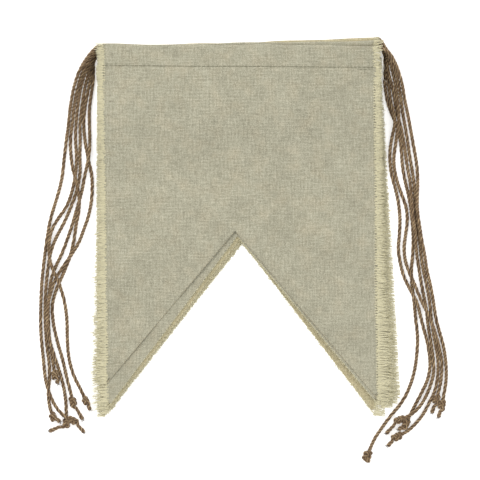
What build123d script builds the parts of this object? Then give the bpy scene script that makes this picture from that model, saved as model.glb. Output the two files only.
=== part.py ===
"""Six linen swallowtail pennants, threaded on jute twine and stacked flat.

Each pennant is one cloth whose top is folded over and sewn down, so that a
channel runs along it. A jute twine passes through the channel, comes out at
both ends and lies down beside the stack to a knot at each end.

Frame: millimetres, +Z up out of the cloth, +X to the right along the headers,
+Y towards the headers. The underside of the stack lies on z = 0. Pennant 1 is
the top one and pennant 6 the bottom one.
"""
from build123d import *
import os
from math import cos, radians, sin, tan

# ---- cloth -------------------------------------------------------------
FLAGS = 6
CLOTH = 0.35                 # thickness of one ply of linen
HEADER_WIDTH = 187.4         # woven width along the header
CHANNEL_DEPTH = 12.6         # from the twine's axis down to the seam
HEM_ALLOWANCE = 1.5          # rear ply below the seam
BODY_PITCH = 0.6             # from one pennant's cloth to the next
DRAPE_START = 17.0           # below the twine's axis the cloth starts to come down
DRAPE_LENGTH = 80.0          # length of the S in which it comes down to the stack
CLOTH_REACH = 262.0          # the profile runs past the longest tail
SIDE_SPARE = 20.0            # and past both side edges, before it is cut out

# ---- twine -------------------------------------------------------------
TWINE = 2.0                  # diameter
CHANNEL_GAP = 0.1            # round the twine, inside the fold
TWINE_HALF = 94.0            # from the middle of the header to the channel's mouth
STRAIGHT_OUT = 2.0           # the twine leaves the channel along its own axis
JOIN_GAP = 0.05              # between the twine in the channel and its free ends
ARC_SHARE = 0.45             # share of the shorter run that an arc takes

FOLD_RADIUS = TWINE / 2 + CHANNEL_GAP + CLOTH
HEADER_PITCH = 3.1           # from one twine's axis to the next
LOWEST_AXIS = 1.5            # height of the bottom twine's axis
HEADER_MIDDLE = -1.5         # where the headers cross
SHIFT = (-3.5, 0.5, 0)       # brings the middle of the six cloths to the origin

# ---- sewing thread -----------------------------------------------------
THREAD_WIDTH = 0.5
THREAD_HEIGHT = 0.2
THREAD_INSET = 3.0           # the seam stops short of both edges
THREAD_OFFSET = 0.3          # the seam's middle, beyond the channel

# ---- knots -------------------------------------------------------------
KNOT_RADIUS = 2.4
KNOT_SINK = 0.8              # the twine ends this far inside the ball's surface

# One row for each pennant, the top one first: how far its header is turned in
# the plane, in degrees, and how far up its middle is, then its left tip, its
# notch and its right tip.
OUTLINES = [
    (-0.35, 122.3, (-92.5, -107.0), (-4.0, -2.0), (94.5, -118.0)),
    (1.2, 123.6, (-92.0, -124.0), (-2.5, -5.5), (94.0, -121.0)),
    (1.8, 123.6, (-92.0, -127.0), (-1.0, -8.0), (97.0, -123.0)),
    (2.3, 123.6, (-90.0, -125.0), (0.0, -9.0), (100.5, -120.0)),
    (2.8, 123.6, (-89.0, -124.0), (0.5, -9.5), (102.5, -116.0)),
    (0.3, 123.6, (-94.0, -129.0), (1.0, -10.0), (92.0, -128.5)),
]

# The twines' routes beside the stack, after the straight stretch out of the
# channel. Each point is (x, y, z); z is 1.2 where the twine lies on the table
# and more where it passes over another.
LEFT_ROUTES = [
    [(-104, 115.5, 14.8), (-109.5, 107, 10.4), (-113.5, 95.5, 5.4), (-116, 82, 1.4),
     (-117, 70.5, 1.2), (-118.5, 60, 1.2), (-120, 47.5, 1.2), (-121.5, 32.5, 1.2),
     (-125.5, 18.5, 1.2), (-129.5, 6, 1.2), (-132, -9, 1.2), (-134, -24.5, 1.2),
     (-135.5, -40, 1.2), (-136, -55.5, 1.2), (-136, -71.5, 1.2), (-134.5, -86, 1.2),
     (-133.5, -96.5, 1.2), (-132.5, -104, 3.7), (-129.5, -114, 3.7), (-125.5, -122, 3.7),
     (-120, -128, 3.8), (-115.5, -130, 3.5)],
    [(-103, 114, 11.8), (-107.5, 106, 8), (-111, 95, 3.8), (-113.5, 82, 1.2),
     (-114.5, 70.5, 1.2), (-116, 60, 1.2), (-115.5, 49.5, 1.2), (-114.5, 41.5, 2.2),
     (-113, 36, 3.7), (-111, 28.5, 3.7), (-109.5, 19.5, 3.7), (-110, 11, 3.3),
     (-112, 2, 1.3), (-113.5, -9.5, 1.2), (-116.5, -21.5, 1.2), (-122, -34, 1.2),
     (-126, -43, 1.2), (-128.5, -53, 1.2), (-127.5, -65, 1.2), (-124.5, -78, 1.2),
     (-121, -89.5, 1.2), (-118.5, -101, 1.2), (-116, -110.5, 1.2), (-114.5, -116.5, 1.7)],
    [(-102.5, 112.5, 9), (-106, 104.5, 5.9), (-109, 94.5, 2.6), (-111, 82, 1.2),
     (-112, 70.5, 1.2), (-112.5, 60, 1.2), (-111.5, 49, 1.2), (-112, 38, 1.2),
     (-114, 26.5, 1.2), (-118, 14.5, 1.2), (-124.5, 6, 1.2), (-129, -2, 2.6),
     (-130.5, -12, 3.1), (-130, -21.5, 3.7), (-127.5, -29, 3.7), (-124.5, -34.5, 3.7),
     (-122, -42, 3), (-119.5, -51, 1.2), (-118, -62.5, 1.2), (-118, -76, 1.2),
     (-117, -89, 1.2), (-113.5, -101, 1.2), (-108.5, -110, 1.2), (-106, -116, 1.2)],
    [(-101.5, 111.5, 6.3), (-104, 103, 4), (-106.5, 93.5, 1.6), (-108, 82, 1.2),
     (-109.5, 70.5, 1.2), (-109, 60, 1.2), (-109.5, 49, 1.2), (-109, 37.5, 1.2),
     (-111, 26.5, 1.2), (-115, 15, 1.2), (-120, 3.5, 1.2), (-125, -5.5, 1.2),
     (-128.5, -13.5, 1.2), (-130.5, -23, 1.2), (-132, -35.5, 1.2), (-133, -49, 1.2),
     (-133, -64, 1.2), (-132, -79, 1.2), (-130, -92.5, 1.2), (-130, -102.5, 1.2),
     (-131, -112.5, 1.2), (-130, -122, 1.2), (-128, -127, 1.6)],
    [(-101, 110, 3.6), (-102, 102, 2.4), (-104, 92.5, 1.2), (-106, 82, 1.2),
     (-107, 71.5, 1.2), (-106, 59, 1.2), (-103.5, 45.5, 1.2), (-101, 35.5, 1.2),
     (-101, 21.5, 1.2), (-103, 9, 1.2), (-107, -2, 1.2), (-110, -10, 1.7),
     (-113.5, -16, 3.7), (-118.5, -23, 3.7), (-122.5, -29, 1.9), (-126, -34.5, 1.2),
     (-128.5, -42, 3.2), (-131, -51, 3.5), (-131.5, -61, 3.5), (-131, -72, 3.5),
     (-128, -83, 3.5), (-124.5, -93.5, 1.8), (-121.5, -103, 1.2), (-119.5, -112.5, 1.2),
     (-118.5, -122, 1.2), (-118.6, -131.4, 1.2)],
    [(-100, 119, 1.3), (-100.5, 113.5, 1.2), (-100, 102.5, 1.2), (-101.5, 91.5, 1.2),
     (-103, 81.5, 1.2), (-103, 70.5, 1.2), (-102.5, 59, 1.2), (-103, 49.5, 3.5),
     (-104.5, 42, 3.7), (-106.5, 33.5, 1.6), (-108, 24.5, 1.2), (-111, 14.5, 1.2),
     (-114.5, 2, 1.2), (-118, -8, 1.2), (-121.5, -17.5, 1.2), (-126, -26.5, 1.2),
     (-129, -34.5, 1.2), (-130.5, -46, 1.2), (-131, -61, 1.2), (-130, -76, 1.2),
     (-128, -89.5, 1.2), (-126.5, -98.5, 1.6)],
]
RIGHT_ROUTES = [
    [(100, 119, 15.6), (104, 112.5, 13.2), (107, 105, 9.6), (109.5, 96.5, 5.2),
     (111, 87, 1.4), (113.5, 76, 1.2), (115.5, 64.5, 1.2), (117.5, 53.5, 1.2),
     (119.5, 42, 1.2), (120, 31, 1.4), (119.5, 21, 2.9), (119.5, 12, 3.3),
     (121, 2, 3.3), (122.5, -8, 3.4), (124.5, -17.5, 3), (126, -28.5, 1.2),
     (128.5, -38.5, 1.2), (130.5, -49.5, 1.2), (132, -60.5, 1.2), (134.5, -70, 1.2),
     (137.5, -80, 1.2), (139, -90.5, 1.2), (139.5, -100.5, 1.2), (138.5, -109.5, 1.2),
     (136.6, -118.5, 1.6)],
    [(99.5, 119.5, 12.8), (102, 113.5, 11), (104.5, 106, 8), (107, 97, 3.8),
     (108.5, 87.5, 1.3), (110, 76, 1.2), (112.5, 63, 1.2), (114, 51.5, 1.2),
     (116, 40, 1.2), (117.5, 30.5, 1.2), (118, 19.5, 1.2), (118.5, 11, 1.2),
     (119.5, 1.5, 1.2), (121, -8, 1.2), (122, -17.5, 1.2), (123.5, -28, 1.2),
     (126, -38.5, 1.2), (128, -49.5, 1.2), (129, -60.5, 1.2), (130.5, -71.5, 1.2),
     (132.5, -81.5, 1.2), (134, -91, 1.2), (133.5, -102.5, 1.2), (131.5, -111.5, 1.2),
     (127.5, -119, 1.2), (123.5, -127, 1.2), (117.5, -134, 1.2), (112.5, -138.5, 1.2),
     (107.4, -140.9, 1.4)],
    [(99, 119.5, 9.8), (101, 112.5, 8.4), (103, 104.5, 5.6), (105, 96, 2.5),
     (106, 88.5, 1.6), (107, 81, 3.7), (107, 73.5, 3.7), (106, 66, 3.7),
     (105, 57, 1.6), (103.5, 47.5, 1.2), (104, 39.5, 1.2), (106, 31, 1.2),
     (109.5, 21.5, 1.2), (112.5, 13, 1.2), (113, 4, 1.2), (111.5, -5.5, 1.2),
     (110.5, -14.5, 1.2), (111.5, -23, 1.2), (114, -30, 3.2), (117, -36.5, 3.7),
     (120, -44, 3.7), (123, -51, 3.7), (126.5, -57.5, 3.7), (129.5, -64.5, 3.7),
     (132, -72, 3.6), (134.5, -81, 1.8), (136.5, -91, 1.2), (136, -102, 1.2),
     (134.5, -110, 1.2), (133, -115, 1.6)],
    [(98.5, 120.5, 7.2), (99, 112.5, 6.3), (100, 104.5, 5.4), (102.5, 96.5, 2.4),
     (104, 88.5, 1.2), (105.5, 79.5, 1.2), (108, 70.5, 1.2), (110, 61, 1.2),
     (111.5, 51, 1.2), (113, 40.5, 1.2), (115, 31, 1.4), (115.5, 23, 3),
     (116, 14.5, 3.5), (117, 4, 3.5), (118.5, -7, 3.6), (119, -16.5, 2.7),
     (120.5, -26, 1.2), (122, -36, 1.2), (124, -46, 1.2), (126, -56.5, 1.2),
     (127, -67, 1.2), (129, -78, 1.2), (130.5, -88.5, 1.2), (131, -98, 1.2),
     (129, -106, 1.2), (126, -113.5, 1.6), (122, -120.5, 3.7), (116.5, -126, 3.9),
     (112, -128.5, 3.6), (109, -129.6, 2.8)],
    [(98, 121.5, 4.3), (98.5, 114, 4), (98, 106.5, 3.6), (100, 98, 1.9),
     (101, 90.5, 1.2), (102, 83.5, 2.2), (104, 77.5, 3.7), (104.5, 70, 3.7),
     (102.5, 62, 1.6), (101, 53, 1.2), (101, 43.5, 1.2), (102.5, 34.5, 1.2),
     (105, 26, 1.2), (107, 16.5, 1.2), (108, 6, 1.2), (107.5, -5, 1.2),
     (106.5, -14.5, 1.2), (108, -24, 1.2), (110.5, -33.5, 1.2), (114, -40.5, 2.8),
     (117, -46, 3.7), (120, -52, 3.2), (121.5, -59, 1.2), (124, -68.5, 1.2),
     (126.5, -77.5, 1.2), (128, -86, 1.2), (128.5, -95, 1.2), (126.5, -104, 1.2),
     (122.5, -112, 1.2), (118.5, -119.5, 1.2), (115, -126.5, 1.2), (112.6, -131.6, 1.3)],
    [(96.5, 120.5, 1.3), (98, 114, 1.2), (97, 104, 1.2), (98, 93.5, 1.2),
     (99.5, 85, 1.2), (102.5, 76.5, 1.2), (106, 69.5, 1.2), (108, 61, 1.2),
     (109, 51.5, 1.2), (109.5, 41.5, 1.2), (111.5, 31, 1.2), (114, 21, 1.2),
     (115.5, 11.5, 1.2), (116.5, 1.5, 1.2), (117, -9, 1.2), (116.5, -19, 1.2),
     (115.5, -29, 1.2), (116, -39.5, 1.2), (117.5, -50, 1.2), (118.5, -62, 1.2),
     (120, -73.5, 1.2), (119.5, -85, 1.2), (118, -96.5, 1.2), (114.5, -108.5, 1.2),
     (109, -119, 1.2), (101.5, -127.5, 1.2), (95, -136.5, 1.2), (89.5, -144.5, 1.2),
     (86.2, -153.4, 1.8)],
]

# Where each twine's loose tail ends, beyond its knot.
LEFT_TAILS = [(-106.5, -138.5, 1.2), (-107.5, -130.0, 1.2), (-102.5, -123.5, 1.2),
              (-123.0, -131.5, 1.2), (-130.0, -138.0, 1.2), (-124.2, -105.5, 1.2)]
RIGHT_TAILS = [(134.0, -128.5, 1.2), (99.5, -148.0, 1.2), (129.5, -125.5, 1.2),
               (98.5, -139.5, 1.2), (106.8, -136.9, 1.2), (83.6, -160.0, 1.2)]


def axis_height(flag):
    """Height of a pennant's twine, in its channel."""
    return LOWEST_AXIS + HEADER_PITCH * (FLAGS - 1 - flag)


def along_header(flag, distance, height):
    """Point on a header's line, a signed distance from its middle."""
    turn = radians(OUTLINES[flag][0])
    return (HEADER_MIDDLE + distance * cos(turn),
            OUTLINES[flag][1] + distance * sin(turn), height)


def panel_profile(flag):
    """Side view of one cloth: a fold round the twine, a seam and the drape."""
    axis = axis_height(flag)
    rest = CLOTH / 2 + BODY_PITCH * (FLAGS - 1 - flag)
    drop = axis + CLOTH / 2 - rest
    bend = (DRAPE_LENGTH ** 2 + drop ** 2) / (4 * drop)
    middle = (-DRAPE_START - DRAPE_LENGTH / 2, CLOTH / 2 - drop / 2)
    lean = (drop / DRAPE_LENGTH) / ((1 + (drop / DRAPE_LENGTH) ** 2) ** 0.5)
    lean_cos = (1 - (2 * lean * (1 - lean ** 2) ** 0.5) ** 2) ** 0.5
    lean_sin = 2 * lean * (1 - lean ** 2) ** 0.5
    half = CLOTH / 2
    upper_mid = (middle[0] - half * lean_sin, middle[1] + half * lean_cos)
    lower_mid = (middle[0] + half * lean_sin, middle[1] - half * lean_cos)
    low = half - drop
    end = -DRAPE_START - DRAPE_LENGTH
    inside = FOLD_RADIUS - CLOTH
    with BuildSketch(Plane.YZ) as sketch:
        with BuildLine():
            Line((0, FOLD_RADIUS), (-CHANNEL_DEPTH, CLOTH))
            Line((-CHANNEL_DEPTH, CLOTH), (-DRAPE_START, CLOTH))
            TangentArc((-DRAPE_START, CLOTH), upper_mid, tangent=(-1, 0))
            RadiusArc(upper_mid, (end, low + half), bend - half)
            Line((end, low + half), (-CLOTH_REACH, low + half))
            Line((-CLOTH_REACH, low + half), (-CLOTH_REACH, low - half))
            Line((-CLOTH_REACH, low - half), (end, low - half))
            RadiusArc((end, low - half), lower_mid, -bend - half)
            TangentArc((-DRAPE_START, 0), lower_mid, tangent=(-1, 0))
            Line((-DRAPE_START, 0), (-CHANNEL_DEPTH - HEM_ALLOWANCE, 0))
            Line((-CHANNEL_DEPTH - HEM_ALLOWANCE, 0), (-CHANNEL_DEPTH - HEM_ALLOWANCE, -CLOTH))
            Line((-CHANNEL_DEPTH - HEM_ALLOWANCE, -CLOTH), (-CHANNEL_DEPTH, -CLOTH))
            Line((-CHANNEL_DEPTH, -CLOTH), (0, -FOLD_RADIUS))
            ThreePointArc((0, -FOLD_RADIUS), (FOLD_RADIUS, 0), (0, FOLD_RADIUS))
        make_face()
        with BuildLine():
            Line((0, inside), (-CHANNEL_DEPTH + 1, 0))
            Line((-CHANNEL_DEPTH + 1, 0), (0, -inside))
            ThreePointArc((0, -inside), (inside, 0), (0, inside))
        make_face(mode=Mode.SUBTRACT)
    return sketch.sketch


def placed(flag, shape):
    """Move a shape from a header's own frame to its place in the stack."""
    turn = OUTLINES[flag][0]
    return Pos(HEADER_MIDDLE, OUTLINES[flag][1], axis_height(flag)) * Rot(0, 0, turn) * shape


def panel(flag):
    """The woven part of one pennant, cut to its swallowtail."""
    cloth = extrude(panel_profile(flag), amount=HEADER_WIDTH / 2 + SIDE_SPARE, both=True)
    cloth = placed(flag, cloth)
    turn, _, left_tip, notch, right_tip = OUTLINES[flag]
    above = FOLD_RADIUS + 2
    rise = (-above * sin(radians(turn)), above * cos(radians(turn)))
    left = along_header(flag, -HEADER_WIDTH / 2, 0)
    right = along_header(flag, HEADER_WIDTH / 2, 0)
    corners = [(left[0] + rise[0], left[1] + rise[1]), left[:2], left_tip, notch, right_tip,
               right[:2], (right[0] + rise[0], right[1] + rise[1])]
    outline = make_face(Polyline(*corners, close=True))
    cutter = extrude(Pos(0, 0, -5) * outline, amount=40)
    return cloth & cutter


def header_seam(flag):
    """The line of sewing thread that closes the channel."""
    length = HEADER_WIDTH - 2 * THREAD_INSET
    bar = Box(length, THREAD_WIDTH, THREAD_HEIGHT)
    return placed(flag, Pos(0, -CHANNEL_DEPTH - THREAD_OFFSET, CLOTH + THREAD_HEIGHT / 2) * bar)


def twine_core(flag):
    """The stretch of twine inside the channel."""
    return placed(flag, Rot(0, 90, 0) * Cylinder(TWINE / 2, 2 * (TWINE_HALF - JOIN_GAP)))


def leg_points(flag, side):
    """Every corner of a twine's route, from the channel's mouth to its knot."""
    sign = -1 if side == "left" else 1
    height = axis_height(flag)
    mouth = along_header(flag, sign * TWINE_HALF, height)
    outside = along_header(flag, sign * (TWINE_HALF + STRAIGHT_OUT), height)
    routes = LEFT_ROUTES if side == "left" else RIGHT_ROUTES
    return [mouth, outside] + routes[flag]


def twine_leg(flag, side):
    """The free stretch of twine on one side: straight runs joined by arcs."""
    points = [Vector(*point) for point in leg_points(flag, side)]
    radii = []
    for before, here, after in zip(points, points[1:], points[2:]):
        turn = (here - before).get_angle(after - here)
        shorter = min((here - before).length, (after - here).length)
        radii.append(ARC_SHARE * shorter / tan(radians(turn / 2)))
    path = FilletPolyline(*points, radius=radii)
    section = Plane(origin=path @ 0, z_dir=path % 0) * Circle(TWINE / 2)
    tube = sweep(section, path=path)
    expected = 3.14159265 * (TWINE / 2) ** 2 * path.length
    print(f"twine {flag + 1} {side}: {path.length:.0f} mm, smallest radius {min(radii):.1f} mm, "
          f"volume {tube.volume / expected:.4f} of section x length")
    return tube


def knot(flag, side):
    """An overhand knot at a twine's end, with the loose tail beyond it."""
    end, before = leg_points(flag, side)[-1], leg_points(flag, side)[-2]
    tail_end = (LEFT_TAILS if side == "left" else RIGHT_TAILS)[flag]
    end = Vector(*end)
    heading = (end - Vector(*before)).normalized()
    middle = end + heading * (KNOT_RADIUS - KNOT_SINK)
    middle = Vector(middle.X, middle.Y, max(middle.Z, KNOT_RADIUS))
    ball = Pos(*middle) * Sphere(KNOT_RADIUS)
    tail_line = Line(tuple(middle), tail_end)
    tail = sweep(Plane(origin=tail_line @ 0, z_dir=tail_line % 0) * Circle(TWINE / 2), path=tail_line)
    return ball + tail


def save(shape, name):
    """Write one subcomponent, moved so that the origin is under the cloths' middle."""
    export_step(Pos(*SHIFT) * shape, f"parts/{name}.step")


os.makedirs("parts", exist_ok=True)
for flag in range(FLAGS):
    number = flag + 1
    save(panel(flag), f"panel_{number}")
    save(header_seam(flag), f"header_seam_{number}")
    save(twine_core(flag), f"twine_core_{number}")
    for side in ("left", "right"):
        leg = twine_leg(flag, side)
        save(leg, f"twine_leg_{side}_{number}")
        save(knot(flag, side) - leg, f"knot_{side}_{number}")
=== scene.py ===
"""Looks for the stack of swallowtail pennants: cloth, fringes, stitches, twines and knots."""
import math
import bpy
import numpy as np
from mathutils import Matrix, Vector


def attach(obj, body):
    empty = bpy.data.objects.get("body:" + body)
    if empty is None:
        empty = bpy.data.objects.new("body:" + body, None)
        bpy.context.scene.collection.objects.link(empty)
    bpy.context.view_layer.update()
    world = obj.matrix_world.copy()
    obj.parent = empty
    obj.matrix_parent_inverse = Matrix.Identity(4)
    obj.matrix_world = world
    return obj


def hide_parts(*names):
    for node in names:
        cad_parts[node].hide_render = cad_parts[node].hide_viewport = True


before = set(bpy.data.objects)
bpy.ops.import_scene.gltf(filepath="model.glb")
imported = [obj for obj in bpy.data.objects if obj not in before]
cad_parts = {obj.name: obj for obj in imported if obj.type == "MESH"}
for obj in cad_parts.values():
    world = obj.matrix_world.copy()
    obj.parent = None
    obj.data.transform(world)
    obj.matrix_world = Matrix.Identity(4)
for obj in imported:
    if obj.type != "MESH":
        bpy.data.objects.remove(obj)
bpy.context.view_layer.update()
rng = np.random.default_rng(20)
MM = 0.001

# ---- sizes, in millimetres ------------------------------------------------
FLAGS = 6
CLOTH = 0.35
HEADER_WIDTH = 187.4
CHANNEL_DEPTH = 12.6
HEM_END = 14.1
BODY_PITCH = 0.6
DRAPE_START = 17.0
DRAPE_LENGTH = 80.0
TWINE_HALF = 94.0
STRAIGHT_OUT = 2.0
FOLD_MID = 1.275
HEADER_PITCH = 3.1
LOWEST_AXIS = 1.5
HEADER_MIDDLE = -1.5         # where the headers cross
SHIFT = (-3.5, 0.5, 0.0)
STRAND = 2.55                # thickness of the hairy twine, which is 2.0 in the CAD model
CUT_END = 6.0                # stretch over which a cut end loosens
CUT_SWELL = 0.3              # and how much thicker it gets
LAY_LENGTH = 9.0             # one turn of its three plies
KNOT_RADIUS = 2.4
KNOT_SINK = 0.8
CORE_STRAND = 2.05           # the twine inside the channel, thin enough to clear the fold
TIP_CUT = 5.0                # the points of the tails are worn blunt
SEAM_LINE = 13.2             # the lockstitches, below the twine's axis
SEAM_DENT = 0.12             # how far they pull the cloth in
SEAM_INSET = 3.2             # they stop short of both edges
FRINGE_WIDTH = 12.0          # both side fringes together, in the sheet's flat size
TOP_LIFT = 0.55              # how far the top cloth wanders and rises
LIFT = 0.05                  # how far the others wander, pressed flat as they are
CALM_START = 16.0            # below the twine's axis the cloth starts to wander
CALM_LENGTH = 30.0

# ---- colours (linear) and light -------------------------------------------
LINEN_DARK = (0.20, 0.188, 0.137)
LINEN_MID = (0.355, 0.34, 0.25)
LINEN_LIGHT = (0.55, 0.53, 0.41)
FRINGE_DARK = (0.53, 0.49, 0.33)
FRINGE_LIGHT = (0.76, 0.72, 0.51)
# stitch tones: the thread's own colour, darkened by painted shade of the seam's groove
STITCH_DARK = (0.14, 0.135, 0.09)
STITCH_LIGHT = (0.25, 0.24, 0.165)
# the jute's dark end is painted shade between fibre bundles and its light end a painted highlight
JUTE_DARK = (0.032, 0.016, 0.007)
JUTE_MID = (0.135, 0.078, 0.037)
JUTE_LIGHT = (0.50, 0.365, 0.205)
HAIR_DARK = (0.16, 0.10, 0.05)
HAIR_LIGHT = (0.46, 0.35, 0.22)
WARP_DARK = (0.30, 0.26, 0.17)
WARP_LIGHT = (0.52, 0.47, 0.33)
# painted shade seen through the ladder where threads are pulled out
GAP_PAINTED_SHADE_DARK = (0.10, 0.085, 0.055)
GAP_PAINTED_SHADE_LIGHT = (0.22, 0.20, 0.14)
WHITE_DARK = (0.62, 0.6, 0.52)
WHITE_LIGHT = (0.86, 0.85, 0.79)
FLECK = (0.13, 0.10, 0.06)
PLAIN = (1.0, 1.0, 1.0)
CREAM = (1.14, 1.06, 0.88)   # the lower cloths are yellower than the top two
WEAVE_PITCH = 0.95           # from thread to thread, in millimetres
WORLD = 0.95
KEY = 12.0
FILL = 4.0
FLOOR_GLOW = 0.42
CAMERA_HEIGHT = 4.0          # in metres
VIEW_WIDTH = 0.3259          # what the camera sees at the table, in metres
SENSOR = 36.0

# One row for each pennant, the top one first: how far its header is turned in
# the plane, in degrees, and how far up its middle is, then its left tip, its
# notch and its right tip.
OUTLINES = [
    (-0.35, 122.3, (-92.5, -107.0), (-4.0, -2.0), (94.5, -118.0)),
    (1.2, 123.6, (-92.0, -124.0), (-2.5, -5.5), (94.0, -121.0)),
    (1.8, 123.6, (-92.0, -127.0), (-1.0, -8.0), (97.0, -123.0)),
    (2.3, 123.6, (-90.0, -125.0), (0.0, -9.0), (100.5, -120.0)),
    (2.8, 123.6, (-89.0, -124.0), (0.5, -9.5), (102.5, -116.0)),
    (0.3, 123.6, (-94.0, -129.0), (1.0, -10.0), (92.0, -128.5)),
]

# The twines' routes beside the stack, after the straight stretch out of the
# channel. Each point is (x, y, z); z is 1.2 where the twine lies on the table
# and more where it passes over another.
LEFT_ROUTES = [
    [(-104, 115.5, 14.8), (-109.5, 107, 10.4), (-113.5, 95.5, 5.4), (-116, 82, 1.4),
     (-117, 70.5, 1.2), (-118.5, 60, 1.2), (-120, 47.5, 1.2), (-121.5, 32.5, 1.2),
     (-125.5, 18.5, 1.2), (-129.5, 6, 1.2), (-132, -9, 1.2), (-134, -24.5, 1.2),
     (-135.5, -40, 1.2), (-136, -55.5, 1.2), (-136, -71.5, 1.2), (-134.5, -86, 1.2),
     (-133.5, -96.5, 1.2), (-132.5, -104, 3.7), (-129.5, -114, 3.7), (-125.5, -122, 3.7),
     (-120, -128, 3.8), (-115.5, -130, 3.5)],
    [(-103, 114, 11.8), (-107.5, 106, 8), (-111, 95, 3.8), (-113.5, 82, 1.2),
     (-114.5, 70.5, 1.2), (-116, 60, 1.2), (-115.5, 49.5, 1.2), (-114.5, 41.5, 2.2),
     (-113, 36, 3.7), (-111, 28.5, 3.7), (-109.5, 19.5, 3.7), (-110, 11, 3.3),
     (-112, 2, 1.3), (-113.5, -9.5, 1.2), (-116.5, -21.5, 1.2), (-122, -34, 1.2),
     (-126, -43, 1.2), (-128.5, -53, 1.2), (-127.5, -65, 1.2), (-124.5, -78, 1.2),
     (-121, -89.5, 1.2), (-118.5, -101, 1.2), (-116, -110.5, 1.2), (-114.5, -116.5, 1.7)],
    [(-102.5, 112.5, 9), (-106, 104.5, 5.9), (-109, 94.5, 2.6), (-111, 82, 1.2),
     (-112, 70.5, 1.2), (-112.5, 60, 1.2), (-111.5, 49, 1.2), (-112, 38, 1.2),
     (-114, 26.5, 1.2), (-118, 14.5, 1.2), (-124.5, 6, 1.2), (-129, -2, 2.6),
     (-130.5, -12, 3.1), (-130, -21.5, 3.7), (-127.5, -29, 3.7), (-124.5, -34.5, 3.7),
     (-122, -42, 3), (-119.5, -51, 1.2), (-118, -62.5, 1.2), (-118, -76, 1.2),
     (-117, -89, 1.2), (-113.5, -101, 1.2), (-108.5, -110, 1.2), (-106, -116, 1.2)],
    [(-101.5, 111.5, 6.3), (-104, 103, 4), (-106.5, 93.5, 1.6), (-108, 82, 1.2),
     (-109.5, 70.5, 1.2), (-109, 60, 1.2), (-109.5, 49, 1.2), (-109, 37.5, 1.2),
     (-111, 26.5, 1.2), (-115, 15, 1.2), (-120, 3.5, 1.2), (-125, -5.5, 1.2),
     (-128.5, -13.5, 1.2), (-130.5, -23, 1.2), (-132, -35.5, 1.2), (-133, -49, 1.2),
     (-133, -64, 1.2), (-132, -79, 1.2), (-130, -92.5, 1.2), (-130, -102.5, 1.2),
     (-131, -112.5, 1.2), (-130, -122, 1.2), (-128, -127, 1.6)],
    [(-101, 110, 3.6), (-102, 102, 2.4), (-104, 92.5, 1.2), (-106, 82, 1.2),
     (-107, 71.5, 1.2), (-106, 59, 1.2), (-103.5, 45.5, 1.2), (-101, 35.5, 1.2),
     (-101, 21.5, 1.2), (-103, 9, 1.2), (-107, -2, 1.2), (-110, -10, 1.7),
     (-113.5, -16, 3.7), (-118.5, -23, 3.7), (-122.5, -29, 1.9), (-126, -34.5, 1.2),
     (-128.5, -42, 3.2), (-131, -51, 3.5), (-131.5, -61, 3.5), (-131, -72, 3.5),
     (-128, -83, 3.5), (-124.5, -93.5, 1.8), (-121.5, -103, 1.2), (-119.5, -112.5, 1.2),
     (-118.5, -122, 1.2), (-118.6, -131.4, 1.2)],
    [(-100, 119, 1.3), (-100.5, 113.5, 1.2), (-100, 102.5, 1.2), (-101.5, 91.5, 1.2),
     (-103, 81.5, 1.2), (-103, 70.5, 1.2), (-102.5, 59, 1.2), (-103, 49.5, 3.5),
     (-104.5, 42, 3.7), (-106.5, 33.5, 1.6), (-108, 24.5, 1.2), (-111, 14.5, 1.2),
     (-114.5, 2, 1.2), (-118, -8, 1.2), (-121.5, -17.5, 1.2), (-126, -26.5, 1.2),
     (-129, -34.5, 1.2), (-130.5, -46, 1.2), (-131, -61, 1.2), (-130, -76, 1.2),
     (-128, -89.5, 1.2), (-126.5, -98.5, 1.6)],
]
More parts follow.
